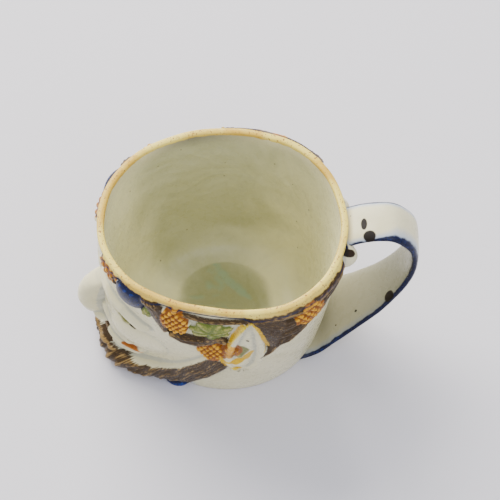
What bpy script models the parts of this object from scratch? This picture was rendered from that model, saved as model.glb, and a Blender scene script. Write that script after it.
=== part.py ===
# Satyr mug: one fired body, pressed in a mould as a head with wreath, hair, ears and beard in relief,
# with a strap handle luted on at the back. Millimetres in the values, metres in the scene, +Z up.
# The face looks along -Y, the handle stands near +Y, the origin is the centre of the flat underside.
import math

import bmesh
import bpy
import numpy as np

for old in list(bpy.data.objects):
    bpy.data.objects.remove(old, do_unlink=True)

MM = 0.001

# Cup body. Places on the carving are angles from the face and heights out of 84 steps of HEIGHT.
HEIGHT = 84.0
RIM_RADIUS = 49.86
RIM_LONG = 3.62
RIM_THREE = 0.94
RIM_FOUR = 0.5
BASE_RADIUS = 39.8
BASE_LONG = 1.4
OVAL_TURN = -13.0
LIP_WALL = 3.0
LOW_WALL = 5.2
FLOOR_TOP = 7.0
FLOOR_RADIUS = 24.0
COLUMNS = 112
OUTER_ROWS = 32
BACK_SPREAD = 0.34

# Face mask
MUZZLE_PROUD = 10.5
MUZZLE_FULL = 8.0
MUZZLE_END = 44.0
MUZZLE_HOLLOW = 0.4
FOREHEAD_PROUD = 1.5
NOSE_TIP_Z = 32.0
NOSE_PROUD = 11.4
NOSE_BASE_Z = 25.5
NOSE_ROOT_Z = 51.0
NOSE_HALF_WIDTH = 7.8
EYE_PHI = 26.0
EYE_Z = 49.0
EYE_PROUD = 3.4
BROW_PROUD = 3.4
CHEEK_PROUD = 3.6
LIP_PROUD = 2.2
MOUTH_HALF_PHI = 31.0
MOUTH_Z = 12.0

# Beard, wreath, hair and ears
BEARD_PROUD = 9.0
WREATH_PROUD = 3.4
EAR_PHI = 94.0
EAR_Z = 52.0
EAR_HALF_WIDTH = 10.0
EAR_HALF_HEIGHT = 28.5
EAR_PROUD = 4.6
HAIR_PROUD = 3.0
ARC = 0.84
PATCH = 0.9

# Handle
HANDLE_PHI = 172.0
STRAP_THICK = 3.6
STRAP_TOP_WIDTH = 19.2
STRAP_FOOT_NEAR = 25.5
STRAP_FOOT_FAR = 18.5
STRAP_GAP = 29.4
STRAP_ROOT_DROP = 5.6
STRAP_HUMP = 5.6
STRAP_FOOT_Z = 3.4
STRAP_FOOT_DEPTH = 9.4
LIP_ROLL = 1.0
LOBE_ASIDE = 12.6
LOBE_Z = 75.2
LOBE_PROUD = 6.0


def smooth(value):
    value = np.clip(value, 0.0, 1.0)
    return value * value * (3.0 - 2.0 * value)


def rim_plan(phi):
    """Outer radius of the slightly triangular, oval rim at an angle from the face."""
    turned = np.radians(phi - OVAL_TURN)
    plain = np.radians(phi)
    long_way = RIM_RADIUS + RIM_LONG * np.cos(2 * turned)
    return long_way + RIM_THREE * np.cos(3 * plain) - RIM_FOUR * np.cos(4 * turned)


def base_plan(phi):
    return BASE_RADIUS + BASE_LONG * np.cos(2 * np.radians(phi - OVAL_TURN))


def wall_radius(phi, z):
    """Plain wall of the cup: the base oval swelling to the rim oval with a rounded foot."""
    share = np.interp(z / HEIGHT, (0, 0.02, 0.06, 0.14, 0.3, 0.6, 0.85, 1.0),
                      (0, 0.06, 0.13, 0.23, 0.41, 0.7, 0.93, 1.0))
    return base_plan(phi) + (rim_plan(phi) - base_plan(phi)) * share


def dome(side, z, centre, radii, turn=0.0, power=0.6):
    """Rounded swelling of height 1, an ellipse in arc millimetres and height, turned in degrees."""
    du = (side - centre[0]) * ARC
    dv = z - centre[1]
    c, s = math.cos(math.radians(turn)), math.sin(math.radians(turn))
    q = ((du * c + dv * s) / radii[0]) ** 2 + ((dv * c - du * s) / radii[1]) ** 2
    return np.clip(1.0 - q, 0.0, 1.0) ** power


def lock(side, z, path, wide, narrow, power=0.6):
    """Raised lock of hair along a path of (angle, height) points, tapering from wide to narrow."""
    points = np.array([(u * ARC, v) for u, v in path])
    best = np.zeros_like(z)
    count = len(points) - 1
    for i in range(count):
        a, b = points[i], points[i + 1]
        step = b - a
        du, dv = side * ARC - a[0], z - a[1]
        t = np.clip((du * step[0] + dv * step[1]) / (step @ step), 0.0, 1.0)
        gap = np.hypot(du - t * step[0], dv - t * step[1])
        half = wide + (narrow - wide) * (i + t) / count
        best = np.maximum(best, np.clip(1.0 - (gap / half) ** 2, 0.0, 1.0) ** power)
    return best


def grapes(side, z, centre, across, down, radius):
    """Bunch of round grapes set in staggered rows, high in the middle of the bunch."""
    best = np.zeros_like(z)
    rows = int(down // radius)
    for row in range(-rows, rows + 1):
        for col in range(-6, 7):
            gu = (col + 0.5 * (row % 2)) * radius * 1.75
            gv = row * radius * 1.5
            inside = 1.0 - (gu / across) ** 2 - (gv / down) ** 2
            if inside < 0.05:
                continue
            one = dome(side, z, (centre[0] + gu / ARC, centre[1] + gv), (radius, radius), 0.0, 0.5)
            best = np.maximum(best, one * (0.65 + 0.35 * inside))
    return best


def leaf(side, z, centre, length, width, turn, lobes):
    """Vine leaf with a toothed outline and a sunk midrib."""
    du = (side - centre[0]) * ARC
    dv = z - centre[1]
    c, s = math.cos(math.radians(turn)), math.sin(math.radians(turn))
    u, v = du * c + dv * s, dv * c - du * s
    around = np.arctan2(v / width, u / length)
    rho = np.hypot(u / length, v / width)
    edge = 0.88 + 0.12 * np.cos(lobes * around)
    body = np.clip(1.0 - (rho / edge) ** 2, 0.0, 1.0) ** 0.4
    return body * (1.0 - 0.35 * np.exp(-(v / (0.16 * width)) ** 2))


def nose(phi, z):
    rise = np.interp(z, (NOSE_BASE_Z - 1.0, NOSE_BASE_Z + 1.0, NOSE_TIP_Z - 3.0, NOSE_TIP_Z, 38, 42, 45,
                         48, NOSE_ROOT_Z), (0, 0.55, 0.94, 1.0, 0.92, 0.8, 0.62, 0.3, 0))
    half = np.interp(z, (NOSE_BASE_Z - 1.0, NOSE_TIP_Z, 38, 48, NOSE_ROOT_Z),
                     (NOSE_HALF_WIDTH * 0.9, NOSE_HALF_WIDTH, 5.8, 4.8, 4.4))
    across = phi * ARC * 1.1
    ridge = np.clip(1.0 - (across / half) ** 2, 0.0, 1.0) ** 0.42
    wing = dome(np.abs(phi), z, (7.2, NOSE_BASE_Z + 2.5), (4.6, 3.2))
    return np.maximum(NOSE_PROUD * rise * ridge, 0.5 * NOSE_PROUD * wing)


def face(phi, z):
    """Mask of the face: forehead, jutting muzzle, nose, brows, eyes, cheeks and lips."""
    side = np.abs(phi)
    muzzle = 1.0 - smooth((side - MUZZLE_FULL) / (MUZZLE_END - MUZZLE_FULL))
    fore = 1.0 - smooth((side - 24.0) / 36.0)
    low = np.interp(z, (0, 6, 15, 25, 35, 45, 58), (0.94, 0.93, 0.84, 0.8, 0.62, 0.34, 0.0))
    high = np.interp(z, (30, 46, 60, 72, 82), (0.0, 1.0, 1.0, 0.8, 0.0))
    form = MUZZLE_PROUD * muzzle * low + FOREHEAD_PROUD * fore * high
    brow = lock(side, z, ((4, EYE_Z + 5), (14, EYE_Z + 8), (26, EYE_Z + 8), (38, EYE_Z + 2.5)), 4.0, 2.8, 0.8)
    brow = brow * (0.45 + 0.55 * smooth(side / 20.0))
    socket = dome(side, z, (EYE_PHI - 2, EYE_Z + 0.5), (10.5, 6.0), -6.0, 1.0)
    ball = dome(side, z, (EYE_PHI, EYE_Z), (6.2, 3.8), -8.0, 0.5)
    cheek = dome(side, z, (31, 33.0), (14.5, 11.0), -18.0, 0.9)
    fold = lock(side, z, ((9, 36), (15, 29), (24, 22)), 2.8, 2.2, 0.8)
    top_lip = ((0, MOUTH_Z + 1.8), (18, MOUTH_Z + 2.8), (MOUTH_HALF_PHI, MOUTH_Z + 7))
    low_lip = ((0, MOUTH_Z - 2.4), (16, MOUTH_Z - 1.2), (MOUTH_HALF_PHI - 2, MOUTH_Z + 4))
    upper = lock(side, z, top_lip, 2.6, 1.6, 0.8)
    under = lock(side, z, low_lip, 2.8, 1.6, 0.8)
    form = form + BROW_PROUD * brow - 3.2 * socket + EYE_PROUD * ball + CHEEK_PROUD * cheek
    form = form + 1.6 * fold * (1.0 - ball) + LIP_PROUD * np.maximum(upper, under)
    return form + nose(phi, z)


def beard(phi, z):
    """Beard jutting at the chin and running up along the jaw to the ear, in combed locks."""
    side = np.abs(phi)
    spine = ((0, 4.0, 6.4), (16, 4.0, 6.4), (26, 4.5, 6.8), (36, 6.0, 7.4), (46, 8.5, 8.0),
             (56, 14.0, 8.4), (66, 22.0, 8.4), (75, 31.0, 8.0), (80, 38.0, 6.5))
    best = np.zeros_like(z)
    for (u0, v0, w0), (u1, v1, w1) in zip(spine[:-1], spine[1:]):
        su, sv = (u1 - u0) * ARC, v1 - v0
        du, dv = (side - u0) * ARC, z - v0
        t = np.clip((du * su + dv * sv) / (su * su + sv * sv), 0.0, 1.0)
        gap = np.hypot(du - t * su, dv - t * sv)
        best = np.maximum(best, np.clip(1.0 - (gap / (w0 + (w1 - w0) * t)) ** 2, 0.0, 1.0) ** 0.55)
    proud = np.interp(side, (0, 12, 20, 25, 30, 38, 50, 82), (0.78, 0.92, 1.12, 1.1, 1.02, 0.9, 0.56, 0.3))
    u = side * ARC
    lean = 0.64 * smooth(u / 36.0)
    across, along = lean * z - 0.86 * u, 0.86 * z + lean * u
    comb = 0.93 + 0.07 * np.cos(across * 1.15 + 1.4 * np.sin(along * 0.33) + 0.8 * np.sin(u * 0.21))
    bead = 0.5 * dome(side, z, (49.5, 1.6), (7.2, 3.4))
    return BEARD_PROUD * np.maximum(best * proud * comb, bead)


def wreath(phi, z):
    """Fruit, vine leaves and curls under the rim, the same on both sides of the face."""
    side = np.abs(phi)
    form = 0.55 * grapes(side, z, (16.5, 79.0), 5.2, 4.2, 2.0)
    form = np.maximum(form, 0.8 * dome(side, z, (32.5, 76.5), (7.4, 7.0), -20.0, 0.5))
    form = np.maximum(form, 0.85 * lock(side, z, ((42, 82), (46.5, 77), (49, 69), (51, 60)), 4.4, 2.0))
    form = np.maximum(form, 0.8 * leaf(side, z, (43, 74.0), 4.2, 2.8, 80.0, 5))
    form = np.maximum(form, grapes(side, z, (57, 71.5), 5.8, 10.6, 2.4))
    form = np.maximum(form, 0.85 * leaf(side, z, (75.0, 68.5), 10.8, 7.8, 16.0, 7))
    form = np.maximum(form, 0.6 * lock(side, z, ((61, 79.5), (75, 77), (98, 80.5)), 2.4, 2.0))
    under = ((54.5, 58), (60, 55.5), (68, 55.5), (74, 58), (79, 62.5), (83, 60))
    form = np.maximum(form, 0.95 * lock(side, z, under, 4.0, 2.2))
    return WREATH_PROUD * np.maximum(form, 0.85 * grapes(side, z, (75.5, 49.0), 6.8, 8.0, 2.4))


def hair(phi, z):
    """Hair swept back from the ear toward the handle, in long locks, with a bunch of grapes on it."""
    side = np.abs(phi)
    form = lock(side, z, ((100, 79), (112, 70), (125, 71), (143, 82)), 6.0, 3.0)
    form = np.maximum(form, lock(side, z, ((101, 74), (110, 62), (121, 62), (134, 72)), 5.2, 3.0))
    form = np.maximum(form, lock(side, z, ((104, 66), (109, 55), (116, 54), (124, 62)), 4.6, 2.6))
    form = np.maximum(form, lock(side, z, ((112, 56), (108, 48), (101, 41)), 3.2, 1.2))
    form = np.maximum(form, lock(side, z, ((99, 82), (120, 80), (146, 83)), 3.4, 2.6))
    return HAIR_PROUD * np.maximum(form, 1.3 * grapes(side, z, (125.5, 73.5), 6.6, 8.2, 2.4))


def ear(phi, z):
    """Pointed satyr's ear: a broad leaf shape, point up, with a raised edge and a hollow."""
    side = np.abs(phi)
    v = (z - EAR_Z) / EAR_HALF_HEIGHT
    wide = np.interp(v, (-0.8, -0.7, -0.5, -0.1, 0.4, 0.85, 1.02), (0, 0.5, 0.95, 1.0, 0.68, 0.3, 0.0))
    half = EAR_HALF_WIDTH * np.maximum(wide, 0.001)
    u = (side - EAR_PHI - 2.0 * v) * ARC / half
    inside = np.clip(1.0 - u * u, 0.0, 1.0)
    edge = np.clip(1.0 - ((np.abs(u) - 0.72) / 0.28) ** 2, 0.0, 1.0) ** 0.6
    lobe = dome(side, z, (EAR_PHI - 4, EAR_Z - 14), (7.0, 5.5), 0.0, 0.6)
    body = np.where(wide > 0.01, np.maximum(0.55 * inside ** 0.4, edge), 0.0)
    return EAR_PROUD * np.maximum(body, 0.95 * lobe)


def handle_lobes(phi, z):
    """Curled leaf tips that stand out of the wall on both sides of the strap's root."""
    aside = np.abs((phi - HANDLE_PHI + 180.0) % 360.0 - 180.0)
    return LOBE_PROUD * dome(aside, z, (LOBE_ASIDE, LOBE_Z), (5.2, 5.8), 0.0, 0.7)


def relief(phi, height):
    """Height of all the moulded work above the plain wall, faded out just under the rim."""
    z = height * 84.0 / HEIGHT
    form = face(phi, z) + handle_lobes(phi, z)
    applied = np.maximum(beard(phi, z), np.maximum(wreath(phi, z), np.maximum(hair(phi, z), ear(phi, z))))
    fade = smooth((82.8 - z) / 2.6)
    return (form + applied) * fade * HEIGHT / 84.0


def hollow(phi, height):
    """How far the inside is pressed out behind the muzzle, so that the wall stays even."""
    side = np.abs(phi)
    muzzle = 1.0 - smooth((side - MUZZLE_FULL) / (MUZZLE_END - MUZZLE_FULL))
    low = np.interp(height / HEIGHT, (0.1, 0.24, 0.4, 0.54, 0.7), (0.0, 1.0, 0.7, 0.36, 0.0))
    return MUZZLE_PROUD * MUZZLE_HOLLOW * muzzle * low


def soft_relief(phi, z):
    """Relief averaged over a small patch, so the facets follow it without jagged edges."""
    total = np.zeros_like(z)
    for du in (-1.0, 0.0, 1.0):
        for dv in (-1.0, 0.0, 1.0):
            total = total + relief(phi + du * PATCH / ARC, np.clip(z + dv * PATCH, 0.0, HEIGHT))
    return total / 9.0


def main_cup():
    outer = [(HEIGHT - LIP_ROLL) * (1.0 - i / (OUTER_ROWS - 1.0)) for i in range(OUTER_ROWS)]
    rise = HEIGHT - FLOOR_TOP
    inner = [FLOOR_TOP + share * rise for share in (0.0, 0.035, 0.09, 0.2, 0.34, 0.52, 0.72)]
    inner.append(HEIGHT - LIP_ROLL)
    # A marker radius in steps of 1 m names each ring until the rings are placed.
    rings = [("crown_out", HEIGHT)] + [("out", z) for z in outer]
    rings += [("in", z) for z in inner] + [("crown_in", HEIGHT)]
    mesh = bpy.data.meshes.new("mug_profile")
    count = len(rings)
    coords = [(1.0 + i, 0.0, 0.1 * i) for i in range(count)]
    edges = [(i, i + 1) for i in range(OUTER_ROWS)]
    edges += [(i, i + 1) for i in range(OUTER_ROWS + 1, count - 1)] + [(count - 1, 0)]
    mesh.from_pydata(coords, edges, [])
    obj = bpy.data.objects.new("mug", mesh)
    scene_part.objects.link(obj)
    screw = obj.modifiers.new("turn", "SCREW")
    screw.angle = math.tau
    screw.steps = COLUMNS
    screw.render_steps = COLUMNS
    screw.use_merge_vertices = True
    screw.merge_threshold = 0.0001
    bpy.context.view_layer.update()
    done = bpy.data.meshes.new_from_object(obj.evaluated_get(bpy.context.evaluated_depsgraph_get()))
    obj.modifiers.clear()
    obj.data = done
    return obj, rings


def place_rings(obj, rings):
    """Move every ring of the turned body to its wall, giving the closed cup."""
    bm = bmesh.new()
    bm.from_mesh(obj.data)
    bmesh.ops.remove_doubles(bm, verts=bm.verts, dist=0.00001)
    bm.verts.ensure_lookup_table()
    ring_of = [int(round(math.hypot(v.co.x, v.co.y))) - 1 for v in bm.verts]
    even = np.array([math.atan2(v.co.x, -v.co.y) for v in bm.verts])
    # Columns crowd toward the face and sides and open out on the plain back.
    phi = np.degrees(even - BACK_SPREAD * np.sin(even))
    z = np.array([rings[i][1] for i in ring_of])
    zone = [rings[i][0] for i in ring_of]
    outside = wall_radius(phi, z) + soft_relief(phi, z)
    share = np.clip((z - FLOOR_TOP) / (HEIGHT - FLOOR_TOP), 0.0, 1.0)
    wall = LIP_WALL + (LOW_WALL - LIP_WALL) * np.interp(share, (0.0, 0.09, 0.3, 1.0), (1.0, 1.0, 0.5, 0.0))
    inside = wall_radius(phi, z) - wall + hollow(phi, z)
    low = np.interp(share, (0.0, 0.035, 0.09), (0.0, 0.62, 1.0))
    inside = FLOOR_RADIUS + (inside - FLOOR_RADIUS) * low
    rim = wall_radius(phi, z * 0 + HEIGHT)
    for i, vert in enumerate(bm.verts):
        if zone[i] == "out":
            r = outside[i]
        elif zone[i] == "in":
            r = inside[i]
        elif zone[i] == "crown_out":
            r = rim[i] - 0.9 * LIP_ROLL
        else:
            r = rim[i] - LIP_WALL + 0.9 * LIP_ROLL
        a = math.radians(phi[i])
        vert.co = (r * math.sin(a) * MM, -r * math.cos(a) * MM, z[i] * MM)
    open_edges = [e for e in bm.edges if e.is_boundary]
    bmesh.ops.holes_fill(bm, edges=open_edges, sides=0)
    bmesh.ops.recalc_face_normals(bm, faces=bm.faces)
    bm.to_mesh(obj.data)
    bm.free()


def strap_line():
    """Centre line of the strap as (distance from axis, height), from inside the wall over and down."""
    phi = np.array(HANDLE_PHI)
    root_z = HEIGHT - STRAP_ROOT_DROP
    root_r = float(wall_radius(phi, np.array(root_z))) - 0.72 * LIP_WALL
    reach = float(wall_radius(phi, np.array(HEIGHT))) + STRAP_GAP
    foot_r = float(base_plan(phi)) - STRAP_FOOT_DEPTH
    crown = root_z + STRAP_HUMP
    over = ((0.0, 0.0, 0.0), (0.11, 0.25, 0.06), (0.27, 0.71, 0.14), (0.48, 1.0, 0.2),
            (0.67, 0.93, 0.26))
    line = [(root_r + (reach - root_r) * g, root_z + STRAP_HUMP * h, k) for g, h, k in over]
    down = ((0.886, 0.95, 0.32), (0.973, 0.87, 0.4), (1.0, 0.764, 0.48), (0.973, 0.64, 0.56),
            (0.886, 0.504, 0.64), (0.739, 0.361, 0.72), (0.545, 0.231, 0.8), (0.341, 0.104, 0.89),
            (0.182, 0.022, 0.96), (0.0, 0.0, 1.0))
    fall = crown - STRAP_FOOT_Z
    line += [(foot_r + (reach - foot_r) * g, STRAP_FOOT_Z + fall * h, k) for g, h, k in down]
    return line


def strap_handle():
    """Flat hand-rolled strap: a rounded section swept along a curve, widening to the foot."""
    line = strap_line()
    section = bpy.data.curves.new("strap_section", "CURVE")
    section.dimensions = "2D"
    spline = section.splines.new("POLY")
    shape = []
    half = 0.5 * STRAP_TOP_WIDTH
    thick = 0.5 * STRAP_THICK
    for k in range(12):
        a = math.tau * k / 12
        u = abs(math.cos(a)) ** 0.4 * math.copysign(1.0, math.cos(a))
        v = abs(math.sin(a)) ** 0.7 * math.copysign(1.0, math.sin(a))
        shape.append((half * u, thick * v))
    spline.points.add(len(shape) - 1)
    for point, (u, v) in zip(spline.points, shape):
        point.co = (u * MM, v * MM, 0.0, 1.0)
    spline.use_cyclic_u = True
    profile = bpy.data.objects.new("strap_section", section)
    scene_guides.objects.link(profile)
    profile.hide_render = True
    profile.display_type = "WIRE"
    a = math.radians(HANDLE_PHI)
    out = (math.sin(a), -math.cos(a))
    path = bpy.data.curves.new("strap_path", "CURVE")
    path.dimensions = "3D"
    path.resolution_u = 2
    run = path.splines.new("POLY")
    run.points.add(len(line) - 1)
    for point, (r, z, share) in zip(run.points, line):
        point.co = (out[0] * r * MM, out[1] * r * MM, z * MM, 1.0)
        point.radius = 1.0
    path.bevel_mode = "OBJECT"
    path.bevel_object = profile
    path.use_fill_caps = True
    path.twist_mode = "MINIMUM"
    rail = bpy.data.objects.new("strap_path", path)
    scene_guides.objects.link(rail)
    bpy.context.view_layer.update()
    mesh = bpy.data.meshes.new_from_object(rail.evaluated_get(bpy.context.evaluated_depsgraph_get()))
    bm = bmesh.new()
    bm.from_mesh(mesh)
    bmesh.ops.remove_doubles(bm, verts=bm.verts, dist=0.00001)
    # Widen each section across the strap by its share of the way to the foot.
    rails = np.array([(p[0], p[1]) for p in line])
    shares = np.array([p[2] for p in line])
    across = (out[1] * -1.0, out[0])
    for vert in bm.verts:
        x, y, z = vert.co.x / MM, vert.co.y / MM, vert.co.z / MM
        r = x * out[0] + y * out[1]
        side = x * across[0] + y * across[1]
        gap = np.hypot(rails[:, 0] - r, rails[:, 1] - z)
        share = shares[int(gap.argmin())]
        half = 0.5 * STRAP_TOP_WIDTH
        if side < 0.0:
            wide = (half, half, 11.5, 13.0, 15.5, 18.0, 20.5, 23.0, STRAP_FOOT_NEAR)
        else:
            wide = (half, half, 9.6, 9.7, 10.2, 11.2, 13.2, 15.8, STRAP_FOOT_FAR)
        side = side / half * np.interp(share, (0.0, 0.3, 0.45, 0.55, 0.65, 0.75, 0.85, 0.93, 1.0), wide)
        z = max(z, STRAP_FOOT_Z - 0.72 * STRAP_THICK)
        vert.co = ((r * out[0] + side * across[0]) * MM, (r * out[1] + side * across[1]) * MM, z * MM)
    bmesh.ops.recalc_face_normals(bm, faces=bm.faces)
    strap = bpy.data.meshes.new("strap")
    bm.to_mesh(strap)
    bm.free()
    bpy.data.objects.remove(rail, do_unlink=True)
    obj = bpy.data.objects.new("strap", strap)
    scene_guides.objects.link(obj)
    obj.hide_render = True
    obj.display_type = "WIRE"
    return obj


def join_strap(cup, strap):
    """Lute the strap to the cup and clear its end out of the inside of the cup."""
    union = cup.modifiers.new("lute", "BOOLEAN")
    union.operation = "UNION"
    union.solver = "EXACT"
    union.object = strap
    bpy.context.view_layer.update()
    done = bpy.data.meshes.new_from_object(cup.evaluated_get(bpy.context.evaluated_depsgraph_get()))
    cup.modifiers.clear()
    cup.data = done
    cup.data.name = "mug"


scene_part = bpy.data.collections.new("mug")
scene_guides = bpy.data.collections.new("guides")
bpy.context.scene.collection.children.link(scene_part)
bpy.context.scene.collection.children.link(scene_guides)

mug, mug_rings = main_cup()
place_rings(mug, mug_rings)
join_strap(mug, strap_handle())

glaze = bpy.data.materials.new("pearlware_glaze")
glaze.use_nodes = True
shader = glaze.node_tree.nodes["Principled BSDF"]
shader.inputs["Base Color"].default_value = (0.62, 0.6, 0.52, 1.0)
shader.inputs["Roughness"].default_value = 0.25
mug.data.materials.clear()
mug.data.materials.append(glaze)

bm = bmesh.new()
bm.from_mesh(mug.data)
bmesh.ops.triangulate(bm, faces=[f for f in bm.faces if len(f.verts) > 4 and f.calc_area() < 0.001])
tris = sum(len(f.verts) - 2 for f in bm.faces)
open_count = sum(1 for e in bm.edges if not e.is_manifold)
print("mug triangles", tris, "open edges", open_count, "volume ml", round(bm.calc_volume() * 1e6, 1))
bm.free()
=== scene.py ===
# %% [markdown]
# # Satyr mug: a moulded, painted and glazed earthenware cup
# The real cup was pressed in a two-part plaster mould as a bearded head with a vine wreath, pointed ears
# and hair in relief, and a hand-rolled strap was luted on behind. It was painted in blue, ochre, green and
# brown on the biscuit, then dipped in a clear lead glaze.
# Here the cup is one closed wall with fine relief, and the strap is a second piece. Both lie over the one
# CAD solid and stand for it.

# %% Load the fixed frame
import math

import bpy
import numpy as np
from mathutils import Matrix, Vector


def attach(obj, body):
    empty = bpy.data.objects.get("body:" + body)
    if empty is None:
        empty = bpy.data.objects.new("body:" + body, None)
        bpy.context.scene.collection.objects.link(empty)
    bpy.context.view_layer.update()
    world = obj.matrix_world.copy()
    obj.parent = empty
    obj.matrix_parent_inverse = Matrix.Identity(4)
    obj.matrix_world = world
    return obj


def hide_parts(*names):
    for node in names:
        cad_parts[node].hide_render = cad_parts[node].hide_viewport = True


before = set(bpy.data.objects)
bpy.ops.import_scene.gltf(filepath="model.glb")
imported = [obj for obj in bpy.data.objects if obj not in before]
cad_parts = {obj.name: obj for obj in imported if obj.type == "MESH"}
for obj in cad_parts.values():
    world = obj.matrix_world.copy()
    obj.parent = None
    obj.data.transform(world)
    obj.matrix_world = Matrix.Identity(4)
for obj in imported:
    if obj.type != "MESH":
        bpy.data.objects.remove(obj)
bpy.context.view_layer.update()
MM = 0.001

# %% [markdown]
# ## The plain wall
# Under its relief the cup is an oval foot that swells to a slightly triangular oval rim. It could be a
# circle extruded and scaled ring by ring, but then relief could not be laid on it at exact places. So each
# place is an angle from the face, in degrees, and a height in millimetres, and one formula gives the
# radius of the wall there.

# %% Wall radius
HEIGHT = 84.0
RIM_RADIUS = 49.86
RIM_LONG = 3.62
RIM_THREE = 0.94
RIM_FOUR = 0.5
BASE_RADIUS = 39.8
BASE_LONG = 1.4
OVAL_TURN = 13.0
ARC = 0.84  # millimetres of wall to one degree
SWELL_AT = (0, 0.02, 0.06, 0.14, 0.3, 0.6, 0.85, 1)
SWELL = (0, 0.06, 0.13, 0.23, 0.41, 0.7, 0.93, 1)


def smooth(value):
    """Ease from 0 to 1 with soft ends."""
    value = np.clip(value, 0.0, 1.0)
    return value * value * (3.0 - 2.0 * value)


def wall_radius(phi, z):
    """Outer radius of the plain wall."""
    turned, plain = np.radians(phi + OVAL_TURN), np.radians(phi)
    rim = RIM_RADIUS + RIM_LONG * np.cos(2 * turned) + RIM_THREE * np.cos(3 * plain)
    rim = rim - RIM_FOUR * np.cos(4 * turned)
    base = BASE_RADIUS + BASE_LONG * np.cos(2 * turned)
    return base + (rim - base) * np.interp(z / HEIGHT, SWELL_AT, SWELL)


print("rim radius at face, side and back", wall_radius(np.array([0.0, 90.0, 180.0]), HEIGHT).round(1))

# %% [markdown]
# ## Brush strokes and pressed forms
# Moulded locks and painted strokes have the same kind of outline, so one helper measures both. For each
# point it gives how far it lies inside the stroke in millimetres, how far along it is, how far aside, and
# its share of the half width. The distance becomes paint, and the share becomes a rounded ridge.


# %% Stroke, ridge, spot and dome
def stroke(side, z, path):
    """Distance inside, run along, distance aside and share of a stroke of (angle, height, half width)."""
    best = None
    run = 0.0
    for (u0, v0, w0), (u1, v1, w1) in zip(path[:-1], path[1:]):
        du, dv = (u1 - u0) * ARC, v1 - v0
        length = math.hypot(du, dv)
        pu, pv = (side - u0) * ARC, z - v0
        t = np.clip((pu * du + pv * dv) / (length * length), 0.0, 1.0)
        gap = np.hypot(pu - t * du, pv - t * dv)
        half = w0 + (w1 - w0) * t
        here = np.stack([half - gap, run + t * length, (pv * du - pu * dv) / length, gap / half])
        best = here if best is None else np.where(here[0] > best[0], here, best)
        run += length
    return best


def ridge(share, power=0.6):
    """Rounded height from 1 on the middle line to 0 at the edge."""
    return np.clip(1.0 - share * share, 0.0, 1.0) ** power


def spot(side, z, place, turn=0.0):
    """How far inside an ellipse (angle, height, half width, half height) a point lies, in millimetres."""
    u0, v0, wide, high = place
    c, s = math.cos(math.radians(turn)), math.sin(math.radians(turn))
    du, dv = (side - u0) * ARC, z - v0
    share = np.hypot((du * c + dv * s) / wide, (dv * c - du * s) / high)
    return (1.0 - share) * min(wide, high)


def dome(side, z, place, turn=0.0, power=0.6):
    """Rounded height over an ellipse."""
    return ridge(1.0 - spot(side, z, place, turn) / min(place[2:]), power)


test = stroke(np.array([0.0]), np.array([5.0]), ((0, 0, 2.0), (0, 10, 2.0)))
print("inside a stroke 4 mm wide, at its middle:", float(test[0][0]), "mm")

# %% [markdown]
# ## The mask
# A satyr's mask is all swelling forms: forehead, brow, cheek, a muzzle that juts at nose and chin, and lips.
# It could be sculpted with brushes, but a modeller presses it from a few domes and rolls, and so does this
# cell: each form is a dome or a stroke, the same on both sides, added to the wall.

# %% Places and sizes of the mask
MUZZLE_PROUD = 10.5
MUZZLE_Z = (0, 6, 15, 25, 35, 45, 58)
MUZZLE_RISE = (0.94, 0.93, 0.84, 0.8, 0.62, 0.34, 0)
FOREHEAD_PROUD = 1.5
BROW_PROUD = 3.4
BROW = ((4, 54, 4.0), (14, 57, 3.6), (26, 57, 3.2), (38, 51.5, 2.8))
SOCKET_DEEP = 3.2
SOCKET = (24, 49.5, 10.5, 6)
EYE_PROUD = 3.4
EYE = (26, 49, 6.2, 3.8)
LID_PROUD = 0.8
LID = ((18.5, 49.5, 0.9), (23, 52.2, 1.1), (29, 52.0, 1.1), (34, 48.6, 0.8))
CHEEK_PROUD = 3.6
CHEEK = (31, 33, 14.5, 11)
FOLD_PROUD = 1.6
FOLD = ((9, 36, 2.6), (15, 29, 2.6), (24, 22, 2.2))
LIP_PROUD = 2.2
UPPER_LIP = ((0, 13.8, 2.6), (18, 14.8, 2.1), (31, 19, 1.6))
UNDER_LIP = ((0, 9.6, 2.8), (16, 10.8, 2.2), (29, 16, 1.6))
NOSE_PROUD = 11.1
NOSE_Z = (24.5, 26.5, 29, 32, 38, 42, 45, 47.5, 50)
NOSE_RISE = (0, 0.55, 0.94, 1, 0.92, 0.77, 0.54, 0.2, 0)
NOSE_HALF_Z = (24.5, 32, 38, 48, 51)
NOSE_HALF = (7.0, 7.8, 5.8, 4.8, 4.4)
WING_PROUD = 5.7
WING = (7.2, 28.0, 4.6, 3.2)
NOSTRIL = (3.8, 25.6, 1.5, 1.2)
print("nose", NOSE_Z[0], "to", NOSE_Z[-1], "mm high,", NOSE_PROUD, "mm proud")


# %% Nose and face
def nose(phi, z):
    rise = np.interp(z, NOSE_Z, NOSE_RISE)
    half = np.interp(z, NOSE_HALF_Z, NOSE_HALF)
    bridge = NOSE_PROUD * rise * ridge(phi * ARC * 1.1 / half, 0.42)
    wing = WING_PROUD * dome(np.abs(phi), z, WING)
    return np.maximum(bridge, wing) - dome(np.abs(phi), z, NOSTRIL, 0, 1.0)


def muzzle_share(phi):
    """1 at the middle of the face, 0 behind the cheeks."""
    return 1.0 - smooth((np.abs(phi) - 8.0) / 36.0)


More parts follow.
